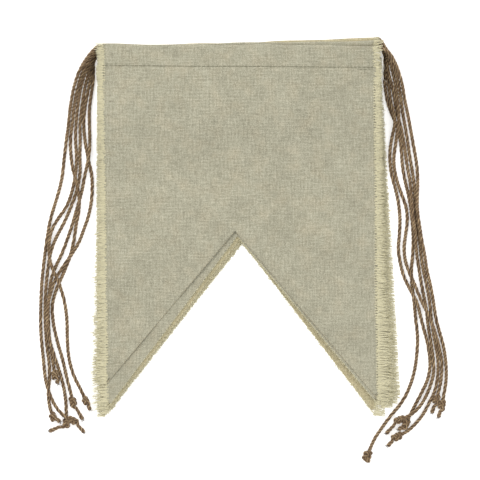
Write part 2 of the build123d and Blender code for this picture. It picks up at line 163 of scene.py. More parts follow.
RIGHT_ROUTES = [
    [(100, 119, 15.6), (104, 112.5, 13.2), (107, 105, 9.6), (109.5, 96.5, 5.2),
     (111, 87, 1.4), (113.5, 76, 1.2), (115.5, 64.5, 1.2), (117.5, 53.5, 1.2),
     (119.5, 42, 1.2), (120, 31, 1.4), (119.5, 21, 2.9), (119.5, 12, 3.3),
     (121, 2, 3.3), (122.5, -8, 3.4), (124.5, -17.5, 3), (126, -28.5, 1.2),
     (128.5, -38.5, 1.2), (130.5, -49.5, 1.2), (132, -60.5, 1.2), (134.5, -70, 1.2),
     (137.5, -80, 1.2), (139, -90.5, 1.2), (139.5, -100.5, 1.2), (138.5, -109.5, 1.2),
     (136.6, -118.5, 1.6)],
    [(99.5, 119.5, 12.8), (102, 113.5, 11), (104.5, 106, 8), (107, 97, 3.8),
     (108.5, 87.5, 1.3), (110, 76, 1.2), (112.5, 63, 1.2), (114, 51.5, 1.2),
     (116, 40, 1.2), (117.5, 30.5, 1.2), (118, 19.5, 1.2), (118.5, 11, 1.2),
     (119.5, 1.5, 1.2), (121, -8, 1.2), (122, -17.5, 1.2), (123.5, -28, 1.2),
     (126, -38.5, 1.2), (128, -49.5, 1.2), (129, -60.5, 1.2), (130.5, -71.5, 1.2),
     (132.5, -81.5, 1.2), (134, -91, 1.2), (133.5, -102.5, 1.2), (131.5, -111.5, 1.2),
     (127.5, -119, 1.2), (123.5, -127, 1.2), (117.5, -134, 1.2), (112.5, -138.5, 1.2),
     (107.4, -140.9, 1.4)],
    [(99, 119.5, 9.8), (101, 112.5, 8.4), (103, 104.5, 5.6), (105, 96, 2.5),
     (106, 88.5, 1.6), (107, 81, 3.7), (107, 73.5, 3.7), (106, 66, 3.7),
     (105, 57, 1.6), (103.5, 47.5, 1.2), (104, 39.5, 1.2), (106, 31, 1.2),
     (109.5, 21.5, 1.2), (112.5, 13, 1.2), (113, 4, 1.2), (111.5, -5.5, 1.2),
     (110.5, -14.5, 1.2), (111.5, -23, 1.2), (114, -30, 3.2), (117, -36.5, 3.7),
     (120, -44, 3.7), (123, -51, 3.7), (126.5, -57.5, 3.7), (129.5, -64.5, 3.7),
     (132, -72, 3.6), (134.5, -81, 1.8), (136.5, -91, 1.2), (136, -102, 1.2),
     (134.5, -110, 1.2), (133, -115, 1.6)],
    [(98.5, 120.5, 7.2), (99, 112.5, 6.3), (100, 104.5, 5.4), (102.5, 96.5, 2.4),
     (104, 88.5, 1.2), (105.5, 79.5, 1.2), (108, 70.5, 1.2), (110, 61, 1.2),
     (111.5, 51, 1.2), (113, 40.5, 1.2), (115, 31, 1.4), (115.5, 23, 3),
     (116, 14.5, 3.5), (117, 4, 3.5), (118.5, -7, 3.6), (119, -16.5, 2.7),
     (120.5, -26, 1.2), (122, -36, 1.2), (124, -46, 1.2), (126, -56.5, 1.2),
     (127, -67, 1.2), (129, -78, 1.2), (130.5, -88.5, 1.2), (131, -98, 1.2),
     (129, -106, 1.2), (126, -113.5, 1.6), (122, -120.5, 3.7), (116.5, -126, 3.9),
     (112, -128.5, 3.6), (109, -129.6, 2.8)],
    [(98, 121.5, 4.3), (98.5, 114, 4), (98, 106.5, 3.6), (100, 98, 1.9),
     (101, 90.5, 1.2), (102, 83.5, 2.2), (104, 77.5, 3.7), (104.5, 70, 3.7),
     (102.5, 62, 1.6), (101, 53, 1.2), (101, 43.5, 1.2), (102.5, 34.5, 1.2),
     (105, 26, 1.2), (107, 16.5, 1.2), (108, 6, 1.2), (107.5, -5, 1.2),
     (106.5, -14.5, 1.2), (108, -24, 1.2), (110.5, -33.5, 1.2), (114, -40.5, 2.8),
     (117, -46, 3.7), (120, -52, 3.2), (121.5, -59, 1.2), (124, -68.5, 1.2),
     (126.5, -77.5, 1.2), (128, -86, 1.2), (128.5, -95, 1.2), (126.5, -104, 1.2),
     (122.5, -112, 1.2), (118.5, -119.5, 1.2), (115, -126.5, 1.2), (112.6, -131.6, 1.3)],
    [(96.5, 120.5, 1.3), (98, 114, 1.2), (97, 104, 1.2), (98, 93.5, 1.2),
     (99.5, 85, 1.2), (102.5, 76.5, 1.2), (106, 69.5, 1.2), (108, 61, 1.2),
     (109, 51.5, 1.2), (109.5, 41.5, 1.2), (111.5, 31, 1.2), (114, 21, 1.2),
     (115.5, 11.5, 1.2), (116.5, 1.5, 1.2), (117, -9, 1.2), (116.5, -19, 1.2),
     (115.5, -29, 1.2), (116, -39.5, 1.2), (117.5, -50, 1.2), (118.5, -62, 1.2),
     (120, -73.5, 1.2), (119.5, -85, 1.2), (118, -96.5, 1.2), (114.5, -108.5, 1.2),
     (109, -119, 1.2), (101.5, -127.5, 1.2), (95, -136.5, 1.2), (89.5, -144.5, 1.2),
     (86.2, -153.4, 1.8)],
]

# Where each twine's loose tail ends, beyond its knot.
LEFT_TAILS = [(-106.5, -138.5, 1.2), (-107.5, -130.0, 1.2), (-102.5, -123.5, 1.2),
              (-123.0, -131.5, 1.2), (-130.0, -138.0, 1.2), (-124.2, -105.5, 1.2)]
RIGHT_TAILS = [(134.0, -128.5, 1.2), (99.5, -148.0, 1.2), (129.5, -125.5, 1.2),
               (98.5, -139.5, 1.2), (106.8, -136.9, 1.2), (83.6, -160.0, 1.2)]


# ---- placing --------------------------------------------------------------
def smooth(t):
    """From 0 to 1 with no corner at either end."""
    t = np.clip(t, 0, 1)
    return t * t * (3 - 2 * t)


def axis_height(flag):
    """Height of a pennant's twine where it runs in the channel."""
    return LOWEST_AXIS + HEADER_PITCH * (FLAGS - 1 - flag)


def along_header(flag, distance, height):
    """A point on a pennant's twine, a distance to the right of the header's middle."""
    turn = math.radians(OUTLINES[flag][0])
    return (HEADER_MIDDLE + distance * math.cos(turn),
            OUTLINES[flag][1] + distance * math.sin(turn), height)


def to_row(points):
    """From the model's own millimetres to the row frame in metres."""
    return (np.asarray(points, dtype=float) + np.array(SHIFT)) * MM


def from_header(flag, local):
    """From a header's own frame (x along it, y up the cloth, z up) to the model's."""
    turn = math.radians(OUTLINES[flag][0])
    local = np.asarray(local, dtype=float)
    x = HEADER_MIDDLE + local[:, 0] * math.cos(turn) - local[:, 1] * math.sin(turn)
    y = OUTLINES[flag][1] + local[:, 0] * math.sin(turn) + local[:, 1] * math.cos(turn)
    return np.stack([x, y, local[:, 2] + axis_height(flag)], axis=1)


def to_header(flag, point):
    """A plan point of the model in a header's own frame."""
    turn = math.radians(OUTLINES[flag][0])
    dx, dy = point[0] - HEADER_MIDDLE, point[1] - OUTLINES[flag][1]
    return (dx * math.cos(turn) + dy * math.sin(turn), -dx * math.sin(turn) + dy * math.cos(turn))


def leg_points(flag, side):
    """Control points of one free twine, from the channel's mouth to its knot."""
    sign = -1 if side == "left" else 1
    height = axis_height(flag)
    mouth = along_header(flag, sign * TWINE_HALF, height)
    outside = along_header(flag, sign * (TWINE_HALF + STRAIGHT_OUT), height)
    routes = LEFT_ROUTES if side == "left" else RIGHT_ROUTES
    return [mouth, outside] + routes[flag]


# ---- nodes ------------------------------------------------------------------
class Nodes:
    """Short hand for building one material."""

    def __init__(self, name):
        self.material = bpy.data.materials.new(name)
        self.material.use_nodes = True
        self.tree = self.material.node_tree
        self.shader = next(n for n in self.tree.nodes if n.type == "BSDF_PRINCIPLED")

    def put(self, socket, value):
        if isinstance(value, bpy.types.NodeSocket):
            self.tree.links.new(value, socket)
        else:
            socket.default_value = value

    def math(self, operation, a, b=0.0, c=0.0):
        node = self.tree.nodes.new("ShaderNodeMath")
        node.operation = operation
        for socket, value in zip(node.inputs, (a, b, c)):
            self.put(socket, value)
        return node.outputs[0]

    def noise(self, vector, scale=1.0, detail=2.0, rough=0.5):
        node = self.tree.nodes.new("ShaderNodeTexNoise")
        self.put(node.inputs["Vector"], vector)
        node.inputs["Scale"].default_value = scale
        node.inputs["Detail"].default_value = detail
        node.inputs["Roughness"].default_value = rough
        return node.outputs[0]

    def stretched(self, u, v, along, across, seed, detail=2.0):
        """Noise drawn out along u or v."""
        place = self.combine(self.math("MULTIPLY", u, along), self.math("MULTIPLY", v, across), seed)
        return self.noise(place, 1.0, detail)

    def combine(self, x, y, z=0.0):
        node = self.tree.nodes.new("ShaderNodeCombineXYZ")
        for socket, value in zip(node.inputs, (x, y, z)):
            self.put(socket, value)
        return node.outputs[0]

    def uv(self):
        node = self.tree.nodes.new("ShaderNodeUVMap")
        node.uv_map = "UVMap"
        split = self.tree.nodes.new("ShaderNodeSeparateXYZ")
        self.tree.links.new(node.outputs[0], split.inputs[0])
        return split.outputs[0], split.outputs[1]

    def ramp(self, factor, stops):
        node = self.tree.nodes.new("ShaderNodeValToRGB")
        self.put(node.inputs[0], factor)
        ramp = node.color_ramp
        while len(ramp.elements) < len(stops):
            ramp.elements.new(0.5)
        for element, (place, colour) in zip(ramp.elements, stops):
            element.position = place
            element.color = (*colour, 1.0)
        return node.outputs[0]

    def mix(self, kind, factor, a, b):
        node = self.tree.nodes.new("ShaderNodeMix")
        node.data_type = "RGBA"
        node.blend_type = kind
        self.put(node.inputs[0], factor)
        self.put(node.inputs[6], a if isinstance(a, bpy.types.NodeSocket) else (*a, 1.0))
        self.put(node.inputs[7], b if isinstance(b, bpy.types.NodeSocket) else (*b, 1.0))
        return node.outputs[2]

    def bump(self, height, strength, distance):
        node = self.tree.nodes.new("ShaderNodeBump")
        self.put(node.inputs["Height"], height)
        node.inputs["Strength"].default_value = strength
        node.inputs["Distance"].default_value = distance
        self.tree.links.new(node.outputs[0], self.shader.inputs["Normal"])

    def finish(self, colour, roughness, sheen=0.0):
        self.put(self.shader.inputs["Base Color"], colour)
        self.put(self.shader.inputs["Roughness"], roughness)
        self.shader.inputs["Specular IOR Level"].default_value = 0.2
        self.shader.inputs["Sheen Weight"].default_value = sheen
        self.shader.inputs["Sheen Roughness"].default_value = 0.6
        return self.material


def linen_material(name, seed, tone):
    """Plain-weave linen: two sets of uneven threads, blotches, slubs and a few flecks; painted shade
    darkens the weave where its threads dip.
    """
    n = Nodes(name)
    u, v = n.uv()
    wobble_u = n.math("MULTIPLY", n.noise(n.combine(u, v, seed), 0.12), 1.2)
    wobble_v = n.math("MULTIPLY", n.noise(n.combine(u, v, seed + 7), 0.12), 1.2)
    wu = n.math("MULTIPLY", n.math("ADD", u, wobble_u), math.pi / WEAVE_PITCH)
    wv = n.math("MULTIPLY", n.math("ADD", v, wobble_v), math.pi / WEAVE_PITCH)
    su, sv = n.math("SINE", wu), n.math("SINE", wv)
    over = n.math("GREATER_THAN", n.math("MULTIPLY", su, sv), 0.0)
    au, av = n.math("ABSOLUTE", su), n.math("ABSOLUTE", sv)
    height = n.math("ADD", n.math("MULTIPLY", au, over),
                    n.math("MULTIPLY", av, n.math("SUBTRACT", 1.0, over)))
    warp = n.stretched(u, v, 1.05, 0.11, seed + 2, 3.0)
    weft = n.stretched(u, v, 0.11, 1.05, seed + 3, 3.0)
    fine = n.noise(n.combine(u, v, seed + 4), 1.6, 3.0, 0.7)
    blotch = n.noise(n.combine(u, v, seed + 5), 0.055, 3.0)
    tint = n.noise(n.combine(u, v, seed + 6), 0.11, 2.0)
    fleck = n.math("GREATER_THAN", n.noise(n.combine(u, v, seed + 9), 0.42, 1.0), 0.79)
    streak = n.math("ADD", n.math("MULTIPLY", warp, 0.5), n.math("MULTIPLY", weft, 0.5))
    value = n.math("ADD", n.math("MULTIPLY", streak, 0.42), n.math("MULTIPLY", fine, 0.58))
    # painted shade: the weave is darker where its threads dip below the crossing ones
    value = n.math("ADD", value, n.math("MULTIPLY", n.math("SUBTRACT", height, 0.6), 0.22))
    value = n.math("ADD", value, n.math("MULTIPLY", n.math("SUBTRACT", blotch, 0.5), 0.12))
    colour = n.ramp(value, [(0.34, LINEN_DARK), (0.51, LINEN_MID), (0.67, LINEN_LIGHT)])
    warm = n.math("MULTIPLY", n.math("SUBTRACT", tint, 0.45), 1.6)
    warm.node.use_clamp = True
    colour = n.mix("MIX", warm, colour, n.mix("MULTIPLY", 1.0, colour, (1.06, 0.985, 0.93)))
    colour = n.mix("MIX", n.math("MULTIPLY", fleck, 0.45), colour, FLECK)
    colour = n.mix("MULTIPLY", 1.0, colour, tone)
    grain = n.math("ADD", n.math("MULTIPLY", height, 0.75), n.math("MULTIPLY", fine, 0.45))
    grain = n.math("ADD", grain, n.math("MULTIPLY", streak, 0.5))
    n.bump(grain, 0.55, 0.00022)
    return n.finish(colour, 0.93, 0.12)


def thread_material(name, dark, light, seed, scale=0.5, roughness=0.9):
    """One loose or sewn thread: fibres along it, from dark to light."""
    n = Nodes(name)
    u, v = n.uv()
    along = n.stretched(u, v, scale, 3.0, seed, 3.0)
    fibre = n.stretched(u, v, 1.4, 9.0, seed + 1)
    value = n.math("ADD", n.math("MULTIPLY", along, 0.6), n.math("MULTIPLY", fibre, 0.4))
    colour = n.ramp(value, [(0.3, dark), (0.7, light)])
    n.bump(fibre, 0.5, 0.0001)
    return n.finish(colour, roughness, 0.1)


def jute_material(name, seed):
    """Jute ply: bundles of long brown fibres, with painted shade between them and a painted highlight where
    they catch light; each ply is darker on its side towards the others, painted shade in the lay's grooves.
    """
    n = Nodes(name)
    u, v = n.uv()
    bundle = n.stretched(u, v, 0.28, 5.0, seed, 3.0)
    fibre = n.stretched(u, v, 0.7, 16.0, seed + 1, 3.0)
    patch = n.stretched(u, n.math("FLOOR", v), 0.09, 1.0, seed + 2)
    value = n.math("ADD", n.math("MULTIPLY", bundle, 0.42), n.math("MULTIPLY", fibre, 0.38))
    value = n.math("ADD", value, n.math("MULTIPLY", patch, 0.2))
    # painted shade: each ply darkens on the side facing the other plies, in the lay's grooves
    outward = n.math("COSINE", n.math("MULTIPLY", v, 2 * math.pi))
    value = n.math("ADD", value, n.math("MULTIPLY", n.math("SUBTRACT", outward, 0.45), 0.11))
    colour = n.ramp(value, [(0.34, JUTE_DARK), (0.49, JUTE_MID), (0.66, JUTE_LIGHT)])
    height = n.math("ADD", n.math("MULTIPLY", fibre, 0.7), n.math("MULTIPLY", bundle, 0.5))
    n.bump(height, 0.8, 0.00025)
    return n.finish(colour, 0.85, 0.15)


# ---- meshes -------------------------------------------------------------------
def resample(points, step):
    """The same line with even steps, and how far along it each point is."""
    points = np.asarray(points, dtype=float)
    seg = np.linalg.norm(np.diff(points, axis=0), axis=1)
    keep = np.concatenate([[True], seg > 1e-7])
    points = points[keep]
    run = np.concatenate([[0], np.cumsum(np.linalg.norm(np.diff(points, axis=0), axis=1))])
    count = max(3, int(round(run[-1] / step)) + 1)
    wanted = np.linspace(0, run[-1], count)
    return np.stack([np.interp(wanted, run, points[:, i]) for i in range(3)], axis=1), wanted


def frames(points):
    """Tangents and two normals that turn as little as they can along the line."""
    tangent = np.gradient(points, axis=0)
    tangent /= np.linalg.norm(tangent, axis=1)[:, None]
    first = np.zeros_like(points)
    start = np.array([0.0, 0.0, 1.0]) if abs(tangent[0][2]) < 0.9 else np.array([1.0, 0.0, 0.0])
    normal = start - tangent[0] * start.dot(tangent[0])
    normal /= np.linalg.norm(normal)
    for i in range(len(points)):
        normal = normal - tangent[i] * normal.dot(tangent[i])
        normal /= np.linalg.norm(normal)
        first[i] = normal
    return tangent, first, np.cross(tangent, first)


class Soup:
    """Many tubes in one mesh, in the model's millimetres."""

    def __init__(self):
        self.verts, self.faces, self.uvs, self.count = [], [], [], 0

    def tube(self, points, radius, sides=6, flat=1.0, facing=None):
        points = np.asarray(points, dtype=float)
        tangent, a, b = frames(points)
        if facing is not None:
            a = facing
            b = np.cross(tangent, a)
        n = len(points)
        radius = np.broadcast_to(np.asarray(radius, dtype=float), (n,))
        angle = np.linspace(0, 2 * math.pi, sides, endpoint=False)
        ring = (np.cos(angle)[None, :, None] * a[:, None, :] * flat +
                np.sin(angle)[None, :, None] * b[:, None, :])
        self.verts.append((points[:, None, :] + ring * radius[:, None, None]).reshape(-1, 3))
        run = np.concatenate([[0], np.cumsum(np.linalg.norm(np.diff(points, axis=0), axis=1))])
        i, j = np.meshgrid(np.arange(n - 1), np.arange(sides), indexing="ij")
        i, j = i.ravel(), j.ravel()
        k = (j + 1) % sides
        base = self.count
        self.faces.append(np.stack([base + i * sides + j, base + i * sides + k,
                                    base + (i + 1) * sides + k, base + (i + 1) * sides + j], axis=1))
        # a whole-number shift keeps v's fraction tied to the facing, which the jute's painted groove shade
        # reads
        shift = float(rng.integers(0, 50)) if facing is not None else rng.uniform(0, 50)
        here, there = shift + j / sides, shift + (j + 1) / sides
        uv = np.stack([run[i], here, run[i], there, run[i + 1], there, run[i + 1], here], axis=1)
        self.uvs.append(uv.reshape(-1, 2))
        self.count += n * sides

    def twisted(self, points, diameter, pitch, plies=3, sides=8, phase=0.0, swell=0.0):
        """Plies laid round one another along a line, each with its own slow unevenness."""
        points, run = resample(points, 0.42)
        _, a, b = frames(points)
        fatter = (1 + swell * smooth(1 - (run[-1] - run) / CUT_END))[:, None]
        ply = 0.24 * diameter
        reach = 0.26 * diameter * fatter
        for k in range(plies):
            turn = 2 * math.pi * (run / pitch + k / plies) + phase + 1.3 * np.sin(run * 0.11 + phase)
            turn = turn + 0.6 * np.sin(run * 0.37 + 2.0 * phase)
            uneven = 1 + 0.08 * np.sin(run * rng.uniform(0.5, 0.9) + rng.uniform(0, 6))
            uneven[[0, -1]] *= 0.25
            out = np.cos(turn)[:, None] * a + np.sin(turn)[:, None] * b
            self.tube(points + reach * out, ply * uneven * fatter[:, 0], sides, facing=out)

    def build(self, name, material, body):
        verts = to_row(np.concatenate(self.verts))
        faces = np.concatenate(self.faces)
        mesh = bpy.data.meshes.new(name)
        mesh.from_pydata(verts.tolist(), [], faces.tolist())
        layer = mesh.uv_layers.new(name="UVMap")
        layer.data.foreach_set("uv", np.concatenate(self.uvs).ravel())
        mesh.polygons.foreach_set("use_smooth", [True] * len(mesh.polygons))
        mesh.materials.append(material)
        mesh.update()
        piece = bpy.data.objects.new(name, mesh)
        bpy.context.scene.collection.objects.link(piece)
        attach(piece, body)
        return piece


def spline_line(points):
    """The smooth line of a NURBS spline with these control points, in the model's millimetres."""
    curve = bpy.data.curves.new("route", "CURVE")
    curve.dimensions = "3D"
    curve.resolution_u = 12
    spline = curve.splines.new("NURBS")
    spline.points.add(len(points) - 1)
    for slot, point in zip(spline.points, points):
        slot.co = (*point, 1.0)
    spline.order_u = 3
    spline.use_endpoint_u = True
    holder = bpy.data.objects.new("route", curve)
    mesh = bpy.data.meshes.new_from_object(holder)
    line = np.array([tuple(v.co) for v in mesh.vertices])
    bpy.data.meshes.remove(mesh)
    bpy.data.objects.remove(holder)
    bpy.data.curves.remove(curve)
    return line


def hairs(soup, points, count, length, radius, stand=0.8, floor=0.15):
    """Loose fibres that leave a twine at a low angle and curl away from it."""
    points, _ = resample(points, 0.5)
    tangent, a, b = frames(points)
    for _ in range(count):
        i = rng.integers(2, len(points) - 2)
        angle = rng.uniform(0, 2 * math.pi)
        out = math.cos(angle) * a[i] + math.sin(angle) * b[i]
        way = tangent[i] * rng.choice([-1, 1])
        size = rng.uniform(*length)
        curl = rng.uniform(-1, 1) * np.cross(way, out)
        t = np.linspace(0, 1, 5)[:, None]
        lift = stand * t ** 1.6 * rng.uniform(0.3, 1)
        line = points[i] + out * (STRAND * 0.38 + lift) + way * size * t * 0.85
        line = line + curl * size * 0.22 * t ** 2
        line[:, 2] = np.maximum(line[:, 2], floor)
        soup.tube(line, radius * np.linspace(1, 0.45, 5), 3)


# ---- camera, light and floor ------------------------------------------------------
scene = bpy.context.scene
camera_data = bpy.data.cameras.new("camera")
camera = bpy.data.objects.new("camera", camera_data)
scene.collection.objects.link(camera)
scene.camera = camera
camera.location = (-0.0042, -0.0077, CAMERA_HEIGHT)
camera.rotation_euler = (0, 0, 0)
camera_data.sensor_width = SENSOR
camera_data.lens = SENSOR * CAMERA_HEIGHT / VIEW_WIDTH
camera_data.clip_end = 20
scene.view_settings.view_transform = "Standard"

world = bpy.data.worlds.new("studio")
scene.world = world
world.use_nodes = True
world.node_tree.nodes["Background"].inputs[0].default_value = (1.0, 0.995, 0.985, 1)
world.node_tree.nodes["Background"].inputs[1].default_value = WORLD


def area_light(name, place, size, power, colour):
    data = bpy.data.lights.new(name, "AREA")
    data.shape = "DISK"
    data.size = size
    data.energy = power
    data.color = colour
    lamp = bpy.data.objects.new(name, data)
    scene.collection.objects.link(lamp)
    lamp.location = place
    lamp.rotation_euler = Vector(place).to_track_quat("Z", "Y").to_euler()


area_light("key", (-0.9, 0.9, 1.3), 0.9, KEY, (1.0, 0.985, 0.96))
area_light("fill", (1.1, -0.5, 1.2), 1.2, FILL, (0.96, 0.98, 1.0))

floor_mesh = bpy.data.meshes.new("floor")
floor_mesh.from_pydata([(-4, -4, 0), (4, -4, 0), (4, 4, 0), (-4, 4, 0)], [], [(0, 1, 2, 3)])
floor = bpy.data.objects.new("floor", floor_mesh)
scene.collection.objects.link(floor)
paper = Nodes("floor_paper")
place = paper.tree.nodes.new("ShaderNodeTexCoord")
paper_grain = paper.noise(place.outputs["Object"], 30, 3.0)
paper_tone = paper.ramp(paper_grain, [(0.3, (0.93, 0.93, 0.93)), (0.7, (0.95, 0.95, 0.95))])
paper.shader.inputs["Emission Color"].default_value = (1, 1, 1, 1)
paper.shader.inputs["Emission Strength"].default_value = FLOOR_GLOW
floor_mesh.materials.append(paper.finish(paper_tone, 0.95))

# ---- materials ----------------------------------------------------------------------
linens = [linen_material(f"linen_{k + 1}", 13.0 * k, CREAM if k > 1 else PLAIN) for k in range(FLAGS)]
fringe_look = thread_material("frayed_linen", FRINGE_DARK, FRINGE_LIGHT, 3.0)
warp_look = thread_material("loose_warp", WARP_DARK, WARP_LIGHT, 8.0)
# thread colour with painted shade of the seam's groove
stitch_thread_and_painted_shade_look = thread_material("sewing_thread", STITCH_DARK, STITCH_LIGHT, 5.0, 1.2, 0.7)
# painted shade for the ladder's openings
gap_painted_shade_look = thread_material("pulled_gap_painted_shade", GAP_PAINTED_SHADE_DARK, GAP_PAINTED_SHADE_LIGHT, 7.0)
white_look = thread_material("white_thread", WHITE_DARK, WHITE_LIGHT, 6.0)
jute = [jute_material(f"jute_{k + 1}", 9.0 * k) for k in range(3)]
hair_look = thread_material("jute_hair", HAIR_DARK, HAIR_LIGHT, 4.0)

# ---- twines ----------------------------------------------------------------------------
KNOT_PLAN = [(-2.9, 0.1, -0.3), (-1.3, -1.2, -0.9), (0, -3.0, 0.9), (1.5, -4.1, 0.3), (2.3, -2.8, -0.4),
             (1.3, -1.1, -0.9), (0, -0.1, 0), (-1.3, -1.1, 0.9), (-2.3, -2.8, 0.4), (-1.5, -4.1, -0.3),
             (0, -3.0, -0.9), (1.3, -1.2, 0.9), (2.9, 0.1, 0.3)]
KNOT_SCALE = {("right", 5): 1.5, ("right", 1): 1.25, ("left", 5): 1.2, ("left", 2): 0.95, ("right", 0): 1.2}
TUCKED = {("right", 5)}      # knots whose cut end doesn't stand out
KNOT_SIDE = {("left", 0): 1, ("left", 1): -1, ("left", 4): -1, ("right", 1): -1, ("right", 3): -1}


def knot_line(flag, side):
    """A half hitch pulled tight, from the end of a twine's run to its cut tail."""
    points = leg_points(flag, side)
    end, before = np.array(points[-1], dtype=float), np.array(points[-2], dtype=float)
    tail = np.array((LEFT_TAILS if side == "left" else RIGHT_TAILS)[flag], dtype=float)
    tail[2] += CUT_SWELL * STRAND / 2
    way = end - before
    way /= np.linalg.norm(way)
    middle = end + way * (KNOT_RADIUS - KNOT_SINK)
    middle[2] = max(middle[2], KNOT_RADIUS)
    x = way.copy()
    x[2] = 0
    x /= np.linalg.norm(x)
    y = np.array([-x[1], x[0], 0]) * KNOT_SIDE.get((side, flag), 1)
    scale = KNOT_SCALE.get((side, flag), 1.12)
    line = [end - way * 1.6]
    for px, py, pz in KNOT_PLAN:
        line.append(middle + scale * (px * 0.8 * x + (py + 2.0) * 0.8 * y) + np.array([0, 0, pz * 1.05]))
    out = tail - middle
    out[2] = 0
    out /= np.linalg.norm(out)
    if (side, flag) in TUCKED:
        line.append(middle + out * 2.2 + np.array([0, 0, -0.9]))
        return line, out
    line.append(middle + out * 4.2 + np.array([0, 0, -0.7]))
    line.append((line[-1] + tail) / 2 + np.array([0.0, 0.0, 0.1]))
    line.append(tail)
    return line, out


for flag in range(FLAGS):
    for side in ("left", "right"):
        points = leg_points(flag, side)
        line = spline_line(points)
        look = jute[(flag + (side == "right")) % 3]
        rope = Soup()
        rope.twisted(line, STRAND, LAY_LENGTH, phase=flag * 1.3)
        name = f"twine_{side}_{flag + 1}"
        leg = rope.build(name, look, "pennant_6")
        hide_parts(f"twine_leg_{side}_{flag + 1}")
        plan, out = knot_line(flag, side)
        tied = Soup()
        tied_line = spline_line(plan)
        tied.twisted(tied_line, STRAND * 0.97, LAY_LENGTH, phase=1.0, swell=CUT_SWELL)
        end = tied_line[-1]
        across = np.array([-out[1], out[0], 0])
        for _ in range(26):
            spread = rng.uniform(-0.9, 0.9)
            size = rng.uniform(0.7, 2.2)
            t = np.linspace(0, 1, 5)[:, None]
            start = end - out * 0.6 + across * rng.uniform(-0.6, 0.6)
            start[2] += rng.uniform(-0.4, 0.5)
            whisker = start + (out + across * spread * t) * size * t
            whisker[:, 2] = np.maximum(whisker[:, 2], 0.15)
            tied.tube(whisker, 0.11 * np.linspace(1, 0.5, 5), 3)
        knot = tied.build(f"knot_{side}_{flag + 1}_tied", look, "pennant_6")
        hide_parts(f"knot_{side}_{flag + 1}")
        path, _ = resample(line, 1.0)
        fluff = Soup()
        hairs(fluff, line, 130, (1.5, 5.0), 0.06)
        hairs(fluff, tied_line, 25, (1.0, 3.5), 0.06, 0.9)
        fuzz = fluff.build(f"fibres_{side}_{flag + 1}", hair_look, "pennant_6")

for flag in range(FLAGS):
    core = Soup()
    height = axis_height(flag)
    ends = [along_header(flag, d, height) for d in np.linspace(-TWINE_HALF - 0.3, TWINE_HALF + 0.3, 40)]
    core.twisted(ends, CORE_STRAND, LAY_LENGTH, sides=6, phase=flag * 1.3)
    inner = core.build(f"twine_in_channel_{flag + 1}", jute[flag % 3], f"pennant_{min(flag + 2, 6)}")
    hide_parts(f"twine_core_{flag + 1}")


# ---- cloth --------------------------------------------------------------------------------
def body_height(flag, s):
    """Height of the cloth's middle over its own twine's axis, a distance s below the axis."""
    drop = axis_height(flag) + CLOTH / 2 - (CLOTH / 2 + BODY_PITCH * (FLAGS - 1 - flag))
    t = np.clip((s - DRAPE_START) / DRAPE_LENGTH, 0, 1)
    curve = np.where(t < 0.5, 2 * t ** 2, 1 - 2 * (1 - t) ** 2)
    return CLOTH / 2 - drop * curve


def ripple(flag, x, s, size):
    """Slow, low unevenness of a cloth that lies flat."""
    p = flag * 2.1
    wave = (np.sin(x * 0.055 + p) * np.sin(s * 0.041 + 1.3 * p) + 0.6 * np.sin(x * 0.021 + s * 0.063 + p) +
            0.4 * np.sin(x * 0.11 - s * 0.05 + 2 * p))
    return size * wave


def looseness(flag, x, s):
    """How far a cloth wanders from its smooth drape; only the top one can also rise."""
    size, rise = (TOP_LIFT, TOP_LIFT) if flag == 0 else (LIFT, 0.0)
    return smooth((s - CALM_START) / CALM_LENGTH) * (ripple(flag, x, s, size) + rise)


def edges(flag):
    """Left edge, right edge and notch in the header's frame, as functions of s."""
    left_tip, notch, right_tip = OUTLINES[flag][2:]
    left, apex, right = (to_header(flag, p) for p in (left_tip, notch, right_tip))
    half = HEADER_WIDTH / 2
    ls, as_, rs = -left[1], -apex[1], -right[1]

    def left_edge(s):
        return -half + (left[0] + half) * np.clip(s, 0, None) / ls

    def right_edge(s):
        return half + (right[0] - half) * np.clip(s, 0, None) / rs

    def notch_left(s):
        return apex[0] + (left[0] - apex[0]) * np.clip((s - as_) / (ls - as_), 0, 1)

    def notch_right(s):
        return apex[0] + (right[0] - apex[0]) * np.clip((s - as_) / (rs - as_), 0, 1)

    return left_edge, right_edge, notch_left, notch_right, ls, as_, rs


def fold_rows():
    """The header's section from the hem round the fold to the seam, as (s, z) pairs."""
    rows = [(HEM_END, -CLOTH / 2), (CHANNEL_DEPTH, -CLOTH / 2)]
    for t in np.linspace(0.12, 1, 7):
        rows.append((CHANNEL_DEPTH * (1 - t), -CLOTH / 2 - (FOLD_MID - CLOTH / 2) * t))
    for t in np.linspace(0, math.pi, 11)[1:]:
        rows.append((-FOLD_MID * math.sin(t), -FOLD_MID * math.cos(t)))
    for t in np.linspace(0.12, 1, 8):
        rows.append((CHANNEL_DEPTH * t, FOLD_MID - (FOLD_MID - CLOTH / 2) * t))
    return rows


